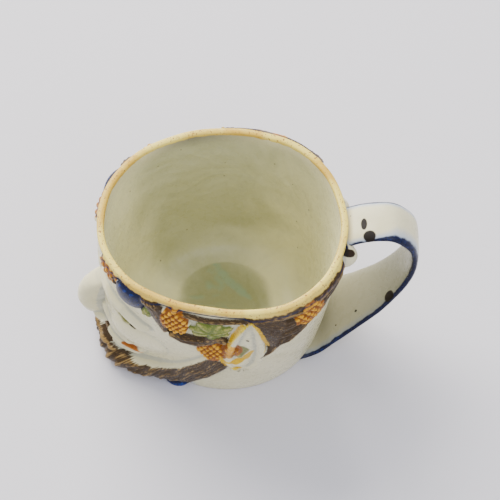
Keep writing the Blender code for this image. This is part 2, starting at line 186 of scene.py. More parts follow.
def face(phi, z):
    side = np.abs(phi)
    fore = 1.0 - smooth((side - 24.0) / 36.0)
    low = np.interp(z, MUZZLE_Z, MUZZLE_RISE)
    high = np.interp(z, (30, 46, 60, 72, 82), (0, 1, 1, 0.8, 0))
    ball = dome(side, z, EYE, -8, 0.5)
    form = MUZZLE_PROUD * muzzle_share(phi) * low + FOREHEAD_PROUD * fore * high
    form = form + BROW_PROUD * ridge(stroke(side, z, BROW)[3], 0.8) * (0.45 + 0.55 * smooth(side / 20.0))
    form = form - SOCKET_DEEP * dome(side, z, SOCKET, -6, 1.0) + EYE_PROUD * ball
    form = form + LID_PROUD * ridge(stroke(side, z, LID)[3], 0.8)
    form = form + CHEEK_PROUD * dome(side, z, CHEEK, -18, 0.9)
    form = form + FOLD_PROUD * ridge(stroke(side, z, FOLD)[3], 0.8) * (1.0 - ball)
    lips = np.maximum(ridge(stroke(side, z, UPPER_LIP)[3], 0.8), ridge(stroke(side, z, UNDER_LIP)[3], 0.8))
    return form + LIP_PROUD * lips + nose(phi, z)


print("muzzle at the chin stands", round(float(face(np.array([0.0]), np.array([6.0]))[0]), 1), "mm proud")

# %% [markdown]
# ## Hair, beard, wreath and ears
# The wreath is locks of hair, vine leaves, grape bunches and one round blue fruit on each side. Locks are
# strokes with combed strands along them, bunches are staggered small domes, and leaves are toothed ovals
# with veins. The lists give each form as a modeller would draw it: angle, height, and half width, or the two
# half sizes. That is easier to correct than a sculpted mesh.

# %% Places of locks, fruit and leaves
LOCKS = (
    (2.8, ((42, 82, 3.4), (46.5, 77, 4.2), (49, 69, 3.4), (51, 60, 2.0))),
    (3.2, ((54.5, 58, 1.8), (60, 55.5, 3.7), (68, 55.5, 3.7), (74, 58, 3.2), (79, 62.5, 3.0), (83, 60, 2.0))),
    (1.8, ((61, 78.7, 1.8), (75, 76.6, 1.9), (98, 79.6, 1.6))),
    (3.0, ((100, 79, 6.0), (112, 70, 5.0), (125, 71, 4.4), (146, 80, 4.2))),
    (3.0, ((101, 74, 5.2), (110, 62, 4.5), (121, 62, 3.8), (134, 72, 3.0))),
    (3.0, ((104, 66, 4.6), (109, 55, 4.0), (116, 54, 3.3), (124, 62, 2.6))),
    (3.0, ((112, 56, 3.2), (108, 48, 2.3), (101, 42, 1.2))),
    (3.0, ((99, 82, 3.4), (120, 80, 3.4), (149, 82, 3.4))),
)
BUNCHES = (
    (1.9, (17.4, 79.2, 5.8, 4.7)),
    (3.4, (57.0, 71.5, 5.8, 10.6)),
    (2.9, (75.6, 47.8, 6.7, 8.6)),
    (3.9, (125.5, 73.5, 6.6, 8.2)),
)
LEAVES = (
    (1.4, (19.0, 75.0, 2.2, 1.6), 20, 3),
    (2.7, (42.6, 71.8, 5.2, 3.2), 80, 5),
    (2.9, (75.6, 68.8, 11.0, 8.0), 20, 7),
)
FRUIT_PROUD = 2.9
FRUIT = (32.5, 76.0, 7.4, 7.6)
FRUIT_PAINT = (32.5, 76.4, 7.4, 8.0)
FRUIT_TURN = -20
BEAD_PROUD = 4.5
BEAD = (49.5, 1.6, 7.2, 3.4)
EAR_GRAPES_PROUD = 3.2
EAR_GRAPES = (86.8, 52.0, 3.4, 4.6)
print(len(LOCKS), "locks,", len(BUNCHES) + 1, "bunches and", len(LEAVES), "leaves on each side")


# %% Grapes and leaves
def grapes(side, z, place, radius=1.5):
    """Height share of a bunch of round grapes, and how far a point lies inside the bunch."""
    u0, v0, across, down = place
    best = np.zeros_like(z)
    rows = int(down // (radius * 1.5)) + 1
    cols = int(across // (radius * 1.8)) + 2
    for row in range(-rows, rows + 1):
        for col in range(-cols, cols + 1):
            gu = (col + 0.5 * (row % 2)) * radius * 1.8 + 0.3 * math.sin(12.9 * row + 7.1 * col)
            gv = row * radius * 1.6 + 0.3 * math.sin(5.3 * row + 9.7 * col + 1.0)
            middle = 1.0 - (gu / across) ** 2 - (gv / down) ** 2
            if middle > 0.02:
                size = radius * (1.0 + 0.12 * math.sin(3.7 * row + 5.9 * col))
                one = dome(side, z, (u0 + gu / ARC, v0 + gv, size, size), 0, 0.5)
                best = np.maximum(best, one * (0.68 + 0.32 * middle ** 0.5))
    body = 0.5 * dome(side, z, place, 0, 0.5)
    return np.maximum(best, body), spot(side, z, place) + 0.4


def leaf(side, z, place, turn, lobes):
    """Height share of a toothed, veined leaf, and how far a point lies inside it."""
    u0, v0, length, width = place
    c, s = math.cos(math.radians(turn)), math.sin(math.radians(turn))
    du, dv = (side - u0) * ARC, z - v0
    u, v = du * c + dv * s, dv * c - du * s
    around = np.arctan2(v / width, u / length)
    rho = np.hypot(u / length, v / width) / (0.88 + 0.12 * np.cos(lobes * around))
    veins = np.abs(np.sin(3.1 * around)) * np.clip(rho * 2.0, 0.0, 1.0)
    body = ridge(rho, 0.4) * (0.72 + 0.28 * np.clip(veins * 2.2, 0.0, 1.0))
    return body, (1.0 - rho) * width


# %% Combed beard
BEARD = ((0, 4, 6.4), (16, 4, 6.4), (26, 4.5, 6.8), (36, 6, 7.4), (46, 8.5, 8.0),
         (56, 14, 8.4), (66, 22, 8.4), (75, 31, 8.0), (80, 38, 6.5))
BEARD_PROUD = 9.0
BEARD_AT = (0, 12, 20, 25, 30, 38, 50, 82)
BEARD_RISE = (0.78, 0.92, 1.12, 1.1, 1.02, 0.9, 0.56, 0.3)
BEARD_TOP_AT = (0, 12, 20, 25, 30, 34, 39, 44, 50, 56, 66, 72, 78, 84)
BEARD_TOP = (10, 10.4, 12.0, 10.9, 10.7, 11.4, 12.5, 15, 18.4, 22.8, 32.4, 38, 41.5, 40)


def beard(phi, z):
    """Height, distance inside, and the along and across coordinates of the combed strands."""
    side = np.abs(phi)
    edge, along, aside, share = stroke(side, z, BEARD)
    proud = np.interp(side, BEARD_AT, BEARD_RISE)
    u = side * ARC
    lean = 0.64 * smooth(u / 36.0)
    across = lean * z - 0.86 * u
    along = 0.86 * z + lean * u
    clump = 0.5 + 0.5 * np.cos(across * 1.15 + 1.4 * np.sin(along * 0.33) + 0.8 * np.sin(u * 0.21))
    edge = np.minimum(edge, 0.8 * (np.interp(side, BEARD_TOP_AT, BEARD_TOP) - z))
    return BEARD_PROUD * ridge(share, 0.55) * proud * (0.86 + 0.14 * clump), edge, along, across


print("beard reaches", BEARD[-1][1], "mm up at the ear")

# %% Pointed ear
EAR_PHI = 94.0
EAR_Z = 52.0
EAR_HALF_HEIGHT = 28.5
EAR_HALF_WIDTH = 10.0
EAR_PROUD = 3.2
EAR_AT = (-0.8, -0.7, -0.5, -0.1, 0.4, 0.85, 1.02)
EAR_WIDE = (0, 0.5, 0.95, 1, 0.68, 0.3, 0)
EAR_LOBE = (90, 38, 7.0, 5.5)
EAR_FOLD = ((86, 60, 1.6), (87, 52, 2.0), (91, 45, 1.6))


def ear(phi, z):
    """Height of a pointed ear with a rolled edge, a lobe and an inner fold."""
    side = np.abs(phi)
    v = (z - EAR_Z) / EAR_HALF_HEIGHT
    wide = np.interp(v, EAR_AT, EAR_WIDE)
    u = (side - EAR_PHI - 2.0 * v) * ARC / (EAR_HALF_WIDTH * np.maximum(wide, 0.001))
    rolled = ridge((np.abs(u) - 0.72) / 0.28)
    rolled = np.where(np.abs(np.abs(u) - 0.72) < 0.28, rolled, 0.0)
    body = np.where(wide > 0.01, np.maximum(0.55 * ridge(u, 0.4), rolled), 0.0)
    inner = ridge(stroke(side, z, EAR_FOLD)[3], 0.7)
    fold = 0.8 * inner * np.clip(1 - np.abs(u), 0, 1)
    return EAR_PROUD * np.maximum(body, 0.95 * dome(side, z, EAR_LOBE)) + fold


print("ear", 2 * EAR_HALF_HEIGHT, "mm high")

# %% [markdown]
# ## All forms and all paint at once
# The painter followed the moulded forms, so each form brings its colour along. For every point of the wall
# the next cells keep the relief height and, for each colour, how far the point lies inside its strokes. The
# glaze material later cuts these distances with a little noise, which gives the crisp but uneven edge of a
# loaded brush. An image could do this too, but it would blur up close.

# %% Start with the bare wall
PAINTS = ("hair", "ochre", "green", "blue", "yellow", "olive", "dabs", "lips", "line")
UNPAINTED = -9.0
HANDLE_PHI = 172.0


def bare_wall(phi, z):
    """Places, relief, paint distances and strand directions of the outside points."""
    side = np.abs(phi)
    return {"phi": phi, "side": side, "z": z, "top": np.zeros_like(z),
            "paint": {name: np.full_like(z, UNPAINTED) for name in PAINTS},
            "comb": [side * ARC, z.copy(), np.zeros_like(z)]}


def build_up(wall, height):
    """Keep the higher of the relief so far and a new form."""
    wall["top"] = np.maximum(wall["top"], height)


def brush(wall, name, edge):
    """Add a stroke of one colour."""
    wall["paint"][name] = np.maximum(wall["paint"][name], edge)


def wipe(wall, names, where, left=-1.0):
    """Take colours off where another form covers them."""
    for name in names:
        wall["paint"][name] = np.where(where, left, wall["paint"][name])


def comb_strands(wall, where, along, across, number):
    """Set the direction of the strands of one lock."""
    for i, value in enumerate((along, across, number)):
        wall["comb"][i] = np.where(where, value, wall["comb"][i])


# %% Beard, locks, leaves and fruit on the wall
def add_beard(wall):
    side, z = wall["side"], wall["z"]
    height, edge, along, across = beard(wall["phi"], z)
    strands = 0.5 + 0.5 * np.cos(across * math.tau / 1.9 + 0.9 * np.sin(along / 3.1))
    height = height - 0.55 * (1.0 - strands) * np.clip(edge * 0.5, 0, 1)
    comb_strands(wall, edge > -2, along + 0.9 * height, across, 0.0)
    brush(wall, "hair", edge)
    build_up(wall, height)
    bead = spot(side, z, BEAD)
    build_up(wall, BEAD_PROUD * dome(side, z, BEAD))
    brush(wall, "blue", bead + 0.4)
    wipe(wall, ("hair",), bead > -0.3)


def add_locks(wall):
    for number, (proud, path) in enumerate(LOCKS):
        edge, along, across, share = stroke(wall["side"], wall["z"], path)
        strands = 0.5 + 0.5 * np.cos(across * math.tau / 1.7 + 0.7 * np.sin(along / 2.3))
        height = proud * ridge(share) - 0.45 * (1.0 - strands) * np.clip(edge * 0.5, 0, 1)
        comb_strands(wall, height > wall["top"], along, across, number + 1.0)
        brush(wall, "hair", edge + 0.3)
        build_up(wall, height)


def add_wreath(wall):
    side, z = wall["side"], wall["z"]
    for proud, place, turn, lobes in LEAVES:
        share, edge = leaf(side, z, place, turn, lobes)
        wipe(wall, ("hair",), (proud * share > wall["top"] - 0.4) & (edge > 0))
        brush(wall, "green", edge)
        build_up(wall, proud * share)
    brush(wall, "blue", spot(side, z, FRUIT_PAINT, FRUIT_TURN))
    build_up(wall, FRUIT_PROUD * dome(side, z, FRUIT, FRUIT_TURN, 0.5))
    for proud, place in BUNCHES:
        share, edge = grapes(side, z, place)
        wipe(wall, ("hair", "green", "blue"), edge > 0.2)
        brush(wall, "ochre", edge)
        build_up(wall, proud * share)


# %% Ear and its painted lines
EAR_LINES = (
    ((96, 80, 0.4), (92.4, 76, 0.6), (89.6, 70, 0.6), (86.6, 62, 0.6), (85.2, 56, 0.5)),
    ((96.6, 80, 0.4), (98.6, 77, 0.7), (100.6, 72, 0.8), (102.6, 64, 0.8), (104.8, 57, 0.8), (105.4, 53, 0.7),
     (103.2, 49.5, 0.3)),
    ((97.5, 50, 0.9), (94, 43.5, 1.9), (88.5, 40, 1.5), (82.5, 40.8, 0.8)),
    ((80.8, 42, 0.9), (84.5, 35, 1.2), (91.5, 32, 0.9)),
)
EAR_BACK_Z = (50, 53, 57, 64, 72, 77, 80)
EAR_BACK = (103, 105, 104.6, 102.4, 100.4, 98.4, 96.4)
WISP = ((114, 60, 2.4), (110.5, 53, 1.9), (107.5, 48, 1.4), (102, 44, 0.3))


def add_ear(wall):
    side, z = wall["side"], wall["z"]
    height = ear(wall["phi"], z)
    wipe(wall, ("hair", "green"), height > 0.6)
    build_up(wall, height)
    for path in EAR_LINES:
        brush(wall, "yellow", stroke(side, z, path)[0])
    share, edge = grapes(side, z, EAR_GRAPES, 1.2)
    brush(wall, "ochre", edge + 1.1)
    build_up(wall, EAR_GRAPES_PROUD * share)
    brush(wall, "ochre", spot(side, z, (97, 81.2, 2.4, 1.2)))
    brush(wall, "olive", stroke(side, z, ((92, 55, 1.5), (94, 52, 2.0), (91, 46, 1.6)))[0])
    brush(wall, "hair", stroke(side, z, WISP)[0])
    inside_ear = (side > 90) & (side < np.interp(z, EAR_BACK_Z, EAR_BACK)) & (z > 50) & (z < 77.8)
    wipe(wall, ("hair",), inside_ear, -2.0)


# %% Single strokes of the painter
STROKES = (
    ("hair", ((0, 20, 3.6), (4, 16, 3.4), (8, 11, 3.6), (12, 7, 3.6))),
    ("hair", ((23, 79, 1.2), (25, 76, 1.4))),
    ("dabs", ((94.8, 62.4, 0.6), (95.3, 61.4, 0.5))),
    ("dabs", ((28.0, 43.9, 0.4), (31.5, 43.2, 0.3))),
    ("olive", ((20.5, 44.6, 0.5), (24.5, 44.0, 1.1), (28, 43.9, 0.4))),
    ("lips", ((20.5, 17, 0.5), (26, 19, 1.1), (32, 19, 0.3))),
)
RIM_LINE_Z = 81.05


def add_strokes(wall):
    """Moustache, eye, mouth, the veins on the fruit and the navy line under the rim."""
    side, z = wall["side"], wall["z"]
    for name, path in STROKES:
        brush(wall, name, stroke(side, z, path)[0])
    veins = 0.7 * np.cos((side * ARC * 0.8 - z * 0.6) * math.tau / 2.6 + 0.8 * np.sin(z * 0.7)) + 0.1
    brush(wall, "line", np.minimum(spot(side, z, FRUIT_PAINT, FRUIT_TURN) - 0.5, veins))
    brush(wall, "line", 0.5 - 0.36 * np.clip(wall["top"] / 2.5, 0, 1) - np.abs(z - RIM_LINE_Z))


# %% Everything on the outside
LOBE = (12.6, 75.2, 5.2, 5.8)
LOBE_PROUD = (5.8, 3.2)


def carve_and_paint(phi, z):
    """Relief, paint and strand directions of all outside points."""
    wall = bare_wall(phi, z)
    for step in (add_beard, add_locks, add_wreath, add_ear, add_strokes):
        step(wall)
    aside = np.abs((phi - HANDLE_PHI + 180.0) % 360.0 - 180.0)
    near = (phi > 0) & (phi < HANDLE_PHI)
    lobes = np.where(near, *LOBE_PROUD) * dome(aside, z, LOBE, 0, 0.7)
    brush(wall, "dabs", np.where(near, spot(aside, z, (14.2, 79.8, 2.0, 1.5), 30), UNPAINTED))
    fade = smooth((82.8 - z) / 2.6)
    return (face(phi, z) + lobes + wall["top"]) * fade, wall["paint"], wall["comb"]


sample = carve_and_paint(np.array([57.0]), np.array([71.5]))[0]
print("the middle bunch stands", round(float(sample[0]), 1), "mm proud")

# %% [markdown]
# ## The cup
# The real wall was pressed into the mould, so it is one closed skin: foot, outside, rolled lip, inside and
# floor. A turned profile would have no room for relief. So a flat grid is added, its columns run round
# the axis and its rows run from the middle of the underside up the outside, over the lip and down to the
# floor. The columns crowd toward the face, where the relief is finest.

# %% Rows of the profile
COLUMNS = 432
OUTER = 176
INNER = 30
FLOOR_TOP = 7.0
FLOOR_RADIUS = 24.0
rows = [("under", r, 0.0) for r in (3.0, 20.0, 36.0)]
rows += [("out", None, z) for z in np.linspace(0.0, HEIGHT - 1.0, OUTER)]
rows += [("lip", a, None) for a in np.linspace(0.0, 180.0, 11)[1:-1]]
rows += [("in", None, FLOOR_TOP + 76.0 * (1.0 - i / 29.0) ** 1.7) for i in range(INNER)]
rows += [("floor", share, None) for share in (0.94, 0.86, 0.75, 0.6, 0.42, 0.22, 0.06)]
print("rows", len(rows), "triangles", 2 * COLUMNS * (len(rows) - 1))


# %% Add the grid and wrap it
def deselect_all():
    """Leave edit mode and select nothing."""
    if bpy.context.object and bpy.context.object.mode != "OBJECT":
        bpy.ops.object.mode_set(mode="OBJECT")
    bpy.ops.object.select_all(action="DESELECT")


def new_grid(name, across, along):
    """Flat grid whose vertices are returned as column and row numbers."""
    deselect_all()
    bpy.ops.mesh.primitive_grid_add(x_subdivisions=across, y_subdivisions=along, size=2.0, location=(0, 0, 0))
    obj = bpy.context.object
    obj.name = name
    obj.data.name = name
    flat = np.empty(len(obj.data.vertices) * 3)
    obj.data.vertices.foreach_get("co", flat)
    flat = flat.reshape(-1, 3)
    column = np.rint((flat[:, 0] + 1.0) * 0.5 * across).astype(int)
    row = np.rint((flat[:, 1] + 1.0) * 0.5 * along).astype(int)
    return obj, column, row


cup, column, row = new_grid("cup", COLUMNS, len(rows) - 1)
even = (column % COLUMNS) / COLUMNS * math.tau - math.pi
phi = np.degrees(even - 0.34 * np.sin(even))
print("grid points", len(phi))

# %% Heights and relief of every point
zone = np.array([r[0] for r in rows])[row]
first = np.array([0.0 if r[1] is None else r[1] for r in rows])[row]
z = np.array([0.0 if r[2] is None else r[2] for r in rows])[row]
outside = zone == "out"
relief = np.zeros(len(z))
relief[outside], paint, comb = carve_and_paint(phi[outside], z[outside])
print("proudest relief", round(float(relief.max()), 1), "mm")

# %% Radius of every point
LIP_HALF = 1.5
LIP_SQUARE = 0.7
LIP_WALL = 3.0
LOW_WALL_MORE = 2.2
FLOOR_BEND_AT = (0.0, 0.004, 0.016, 0.04, 0.08, 0.14, 0.22)
FLOOR_BEND = (0.0, 0.26, 0.52, 0.74, 0.89, 0.97, 1.0)


def inside_radius(phi, z):
    """Inner wall: three millimetres thick at the lip, five lower down, pressed out a little at the muzzle."""
    share = np.clip((z - FLOOR_TOP) / (HEIGHT - FLOOR_TOP), 0.0, 1.0)
    wall = LIP_WALL + LOW_WALL_MORE * np.interp(share, (0.0, 0.09, 0.3, 1.0), (1.0, 1.0, 0.5, 0.0))
    low = np.interp(z / HEIGHT, (0.1, 0.24, 0.4, 0.54, 0.7), (0.0, 1.0, 0.7, 0.36, 0.0))
    full = wall_radius(phi, z) - wall + 4.2 * muzzle_share(phi) * low
    turn = np.interp(share, FLOOR_BEND_AT, FLOOR_BEND)
    return FLOOR_RADIUS + (full - FLOOR_RADIUS) * turn


lip_angle = np.radians(first)
lip_side = LIP_HALF * np.sign(np.cos(lip_angle)) * np.abs(np.cos(lip_angle)) ** LIP_SQUARE
radius = np.select(
    [zone == "under", outside, zone == "lip", zone == "in"],
    [first, wall_radius(phi, z) + relief, wall_radius(phi, HEIGHT) - LIP_HALF + lip_side,
     inside_radius(phi, z)],
    first * FLOOR_RADIUS)
lip_top = HEIGHT - 1.0 + np.sin(lip_angle) ** LIP_SQUARE
z = np.select([zone == "lip", zone == "floor"], [lip_top, 6.8 + 0.2 * first], z)
wobble = 0.12 * np.sin(np.radians(phi * 7.0)) + 0.1 * np.sin(np.radians(phi * 13.0 + 40.0))
uneven = radius + wobble * np.clip((z - 60.0) / 24.0, 0, 1)
radius = np.where((zone == "in") | (zone == "lip"), uneven, radius)
angle = np.radians(phi)
place = np.stack([radius * np.sin(angle), -radius * np.cos(angle), z], axis=1) * MM
cup.data.vertices.foreach_set("co", place.ravel())
print("cup is", round(float(z.max()), 2), "mm high and", round(float(radius.max()), 1), "mm out at most")

# %% [markdown]
# ## Painted distances on the mesh
# A pattern that follows the moulded forms has to know where they are. The distances, the strand directions
# and a cavity value go onto the points as attributes. Cavity is the relief less its own average, so it is
# positive on ridges, where paint wears thin, and negative in grooves, where it gathers.


# %% Store the attributes of the cup
def set_attributes(obj, values):
    """Write one number to each point for each name."""
    for name, numbers in values.items():
        store = obj.data.attributes.new(name, "FLOAT", "POINT")
        store.data.foreach_set("value", np.asarray(numbers, dtype=np.float32))


def local_mean(values, reach):
    """Average over a square patch of the wrapped grid."""
    total = np.zeros_like(values)
    for dr in range(-reach, reach + 1):
        moved = values[np.clip(np.arange(len(values)) + dr, 0, len(values) - 1)]
        for dc in range(-reach, reach + 1):
            total += np.roll(moved, dc, axis=1)
    return total / (2 * reach + 1) ** 2


def outside_only(values, elsewhere):
    """Numbers of the outside points, with one number for all others."""
    spread = np.full(len(z), elsewhere)
    spread[outside] = values
    return spread


table = np.zeros((len(rows), COLUMNS))
keep = column < COLUMNS
table[row[keep], column[keep]] = relief[keep]
cavity = (table - local_mean(table, 3))[row, column % COLUMNS]
set_attributes(cup, {name: outside_only(values, UNPAINTED) for name, values in paint.items()})
set_attributes(cup, {name: outside_only(values, 0.0)
                     for name, values in zip(("comb_along", "comb_across", "comb_lock"), comb)})
set_attributes(cup, {"cavity": np.where(outside, cavity, 0.0)})
print("cavity from", round(float(cavity.min()), 2), "to", round(float(cavity.max()), 2), "mm")

# %% [markdown]
# ## Where the glaze is thick, and painted light and shade inside
# The glaze drained to the floor and lies greener and thicker there; the darker olive towards the floor is
# that pooled glaze and also painted shade. The two narrow ends of the inside are painted paler, as painted
# light. The lip was wiped and painted, so a band at the top takes the ochre. The foot ring was wiped clean
# of glaze to keep it from sticking in the kiln.

# %% Glaze depth, painted light and shade inside, lip band and foot
inner_zone = (zone == "in") | (zone == "floor")
turn_depth = 0.8 + 0.1 * np.sin(np.radians(phi))
depth = np.where(zone == "floor", 0.9, np.minimum((HEIGHT - z) / HEIGHT, turn_depth))
# Painted light: the inner wall is painted paler towards the handle end and towards the face end.
to_back = (1.35 - 0.45 * z / HEIGHT) * (0.5 + 0.5 * np.cos(np.radians(phi - 168.0))) ** 1.8
to_face = 1.3 * (0.5 + 0.5 * np.cos(np.radians(phi - 8.0))) ** 4
# The painted light fades out on the floor. Where it is low, more painted shade gathers towards the floor.
painted_light_and_shade = np.maximum(to_back, to_face) * np.where(zone == "floor", first ** 4, 1.0)
band = np.select([zone == "lip", outside, zone == "in"], [z * 0 + 1.2, z - 81.9, z - 82.5], UNPAINTED)
set_attributes(cup, {
    "well": np.where(inner_zone, depth, np.where(zone == "lip", 0.0, -0.3)),
    "painted_light_and_shade": np.where(inner_zone, painted_light_and_shade, 0.5),
    "tan": np.maximum(band, UNPAINTED),
    "foot": np.where(zone == "under", 1.0, np.where(outside, 0.6 - z, UNPAINTED)),
})
print("points under the ochre lip band", int((band > 0).sum()))


# %% Close the seam and the two poles
def close_ends(obj):
    """Merge the seam, fill the two end rings with fans and smooth the shading."""
    deselect_all()
    obj.select_set(True)
    bpy.context.view_layer.objects.active = obj
    bpy.ops.object.mode_set(mode="EDIT")
    bpy.ops.mesh.select_all(action="SELECT")
    bpy.ops.mesh.remove_doubles(threshold=0.000001)
    bpy.ops.mesh.select_all(action="DESELECT")
    bpy.ops.mesh.select_mode(type="EDGE")
    bpy.ops.mesh.select_non_manifold()
    bpy.ops.mesh.edge_face_add()
    bpy.ops.mesh.select_mode(type="FACE")
    bpy.ops.object.mode_set(mode="OBJECT")
    for polygon in obj.data.polygons:
        polygon.select = len(polygon.vertices) > 4
    bpy.ops.object.mode_set(mode="EDIT")
    bpy.ops.mesh.poke()
    bpy.ops.mesh.select_all(action="SELECT")
    bpy.ops.mesh.normals_make_consistent(inside=False)
    bpy.ops.object.mode_set(mode="OBJECT")
    bpy.ops.object.shade_smooth()
    print(obj.name, "faces", len(obj.data.polygons))


close_ends(cup)

# %% [markdown]
# ## The strap handle
# The potter rolled a flat strap, luted it under the lip and pressed its broad foot onto the lower wall. A
# bevelled curve would keep one width all along, and this strap widens to one side more than to the other.
# So a grid wrapped into a tube follows the strap's line, out of the wall, over the hump and down, with its
# own half width on each side.

# %% Line of the strap
ROOT_DROP = 5.8
ROOT_SINK = 2.16
STRAP_REACH = 29.2
HUMP = 5.6
FOOT_Z = 3.4
FOOT_SINK = 9.4
OVER = ((0.0, 0.0), (0.11, 0.25), (0.27, 0.71), (0.48, 1.0), (0.67, 0.93))
DOWN = ((0.886, 0.95), (0.973, 0.87), (1.0, 0.764), (0.973, 0.64), (0.886, 0.504),
        (0.739, 0.361), (0.545, 0.231), (0.341, 0.104), (0.182, 0.022), (0.0, 0.0))
root_z = HEIGHT - ROOT_DROP
root_r = float(wall_radius(np.array(HANDLE_PHI), np.array(root_z))) - ROOT_SINK
reach = float(wall_radius(np.array(HANDLE_PHI), np.array(HEIGHT))) + STRAP_REACH
foot_r = BASE_RADIUS + BASE_LONG * math.cos(2 * math.radians(HANDLE_PHI + OVAL_TURN)) - FOOT_SINK
crown = root_z + HUMP
knots = [(root_r + (reach - root_r) * g, root_z + HUMP * h) for g, h in OVER]
knots += [(foot_r + (reach - foot_r) * g, FOOT_Z + (crown - FOOT_Z) * h) for g, h in DOWN]
print("strap from", round(root_z, 1), "mm over", round(crown, 1), "mm down to", FOOT_Z, "mm")


# %% Even steps along the line
def curve_through(points, steps):
    """Catmull-Rom curve through the points, evened out along its length."""
    p = np.array([points[0]] + list(points) + [points[-1]])
    fine = []
    for i in range(1, len(p) - 2):
        t = np.linspace(0.0, 1.0, 16, endpoint=False)[:, None]
        a, b, c, d = p[i - 1], p[i], p[i + 1], p[i + 2]
        cubic = (3 * b - a - 3 * c + d) * t ** 3
        fine.append(0.5 * (2 * b + (c - a) * t + (2 * a - 5 * b + 4 * c - d) * t ** 2 + cubic))
    fine = np.vstack(fine + [p[-1:]])
    run = np.concatenate([[0], np.cumsum(np.hypot(*np.diff(fine, axis=0).T))])
    even_run = np.linspace(0.0, run[-1], steps)
    return np.stack([np.interp(even_run, run, fine[:, k]) for k in (0, 1)], axis=1), even_run


ALONG = 220
AROUND = 72
middle, run = curve_through(knots, ALONG + 1)
tangent = np.gradient(middle, axis=0)
tangent /= np.hypot(tangent[:, 0], tangent[:, 1])[:, None]
upward = np.stack([-tangent[:, 1], tangent[:, 0]], axis=1)
print("strap length", round(float(run[-1]), 1), "mm")

# %% Section of the strap
HALF_WIDTH = 9.6
HALF_THICK = 1.75
WIDENING = (0, 0.12, 0.3, 0.45, 0.55, 0.65, 0.75, 0.85, 0.93, 1.0)
share = run / run[-1]
near_half = np.interp(share, WIDENING, (9.6, 9.4, 9.6, 11.4, 12.9, 15.4, 17.9, 20.4, 22.9, 25.3))
far_half = np.interp(share, WIDENING, (9.6, 9.4, 9.6, 9.5, 9.6, 10.1, 11.1, 13.1, 15.6, 18.3))
half_thick = HALF_THICK * np.interp(share, (0.0, 0.86, 1.0), (1.0, 1.0, 0.9))
turn = np.linspace(0.0, math.tau, 4001)
flat_u = np.sign(np.cos(turn)) * np.abs(np.cos(turn)) ** 0.5
flat_v = np.sign(np.sin(turn)) * np.abs(np.sin(turn)) ** 0.75
steps = np.hypot(HALF_WIDTH * np.diff(flat_u), HALF_THICK * np.diff(flat_v))
girth = np.concatenate([[0.0], np.cumsum(steps)])
print("strap width at the foot", round(float(near_half[-1] + far_half[-1]), 1), "mm")

# %% Wrap the strap
strap, column, row = new_grid("strap", AROUND, ALONG)
even = (column % AROUND) / AROUND * girth[-1]
u = np.interp(even, girth, flat_u)
v = np.interp(even, girth, flat_v)
aside = u * np.where(u < 0, near_half[row], far_half[row])
lift = v * half_thick[row] * (1.0 + 0.05 * np.cos(u * 2.4))
strap_r = middle[row, 0] + upward[row, 0] * lift
strap_z = np.maximum(middle[row, 1] + upward[row, 1] * lift, 0.75)
out = (math.sin(math.radians(HANDLE_PHI)), -math.cos(math.radians(HANDLE_PHI)))
place = np.stack([strap_r * out[0] - aside * out[1], strap_r * out[1] + aside * out[0], strap_z], axis=1) * MM
strap.data.vertices.foreach_set("co", place.ravel())
print("strap top at", round(float(strap_z.max()), 1), "mm")

# %% [markdown]
# ## Paint on the strap
# A cobalt line was drawn along the near edge and the top of the far edge, and it has bled downhill in the
# glaze. A few brown dabs sit on the top near the root and inside the lower bend. The strap's own run and
# width give their places, so the line follows the edge wherever the strap goes.

# %% Cobalt lines and brown dabs
s = run[row]
near_edge = near_half[row] + aside
far_edge = far_half[row] - aside
LINE_AT = (0, 14, 18, 23, 30, 40, 60, 80, 120, 150)
LINE_WIDE = (0.2, 0.6, 0.9, 2.3, 2.5, 2.1, 1.5, 1.2, 1.4, 1.4)
blue = (np.interp(s, LINE_AT, LINE_WIDE) - near_edge) * np.interp(s, (16, 24, 40, 60), (1.0, 0.4, 0.45, 0.8))
blue = np.where(s > 14, blue, np.minimum(blue, 0.3 - near_edge))
blue = np.maximum(blue, np.where((v > -0.3) & (s < 42), 0.9 - far_edge, UNPAINTED))
DABS = (
    (12.8, -7.5, 2.6, 2.6, True),
    (10.7, -1.6, 1.3, 2.8, True),
    (72.5, -11.4, 3.2, 2.5, False),
    (94.1, -10.2, 0.9, 0.7, False),
    (106.4, -12.9, 0.6, 0.5, False),
)
brown = np.full(len(s), UNPAINTED)
for centre_s, centre_aside, long, wide, upper in DABS:
    gap = np.hypot((s - centre_s) / long, (aside - centre_aside) / wide)
    brown = np.maximum(brown, np.where((v > 0) == upper, (1.0 - gap) * 2.4, UNPAINTED))
print("points under cobalt", int((blue > 0).sum()), "and under brown", int((brown > 0).sum()))

# %% Store the attributes of the strap
# Painted shade on the strap's inner face: none near the root, full from 36 mm along, easing to half towards
# the foot.
shade = smooth((s - 16.0) / 20.0) * np.interp(s, (60, 105), (1.0, 0.5))
bare = ("hair", "ochre", "green", "yellow", "olive", "lips", "line", "tan", "foot")
set_attributes(strap, {name: np.full(len(s), UNPAINTED) for name in bare})
set_attributes(strap, {
    "blue": blue,
    "dabs": brown,
    "comb_along": aside,
    "comb_across": s,
    "comb_lock": s * 0,
    "cavity": s * 0,
    # Painted shade: the inner face is painted towards dark grey-olive as the shade grows.
    "painted_light_and_shade": np.where(v < 0.1, 0.5 - 0.5 * shade, 0.5),
    # The inner face also takes a little of the greenish inside colour: pooled glaze and painted shade.
    "well": np.where(v < 0, 0.03, -0.3),
})
close_ends(strap)

# %% [markdown]
# ## Painted lead glaze
# Pearlware is a pale cream-white clay under a clear lead glaze with a trace of cobalt, so hollows look
# greenish grey and edges warm. The colours were brushed on the biscuit and sit under the glaze. A lead glaze
# is smooth and glossy, with slight waves and pinholes, and its index of refraction is near 1.5. The
# reflections in the photograph are soft and weak, so the coat is thin and the roughness moderate.
# The tables give each finish as a painter's list: what it follows, where it starts and ends, and its colour.


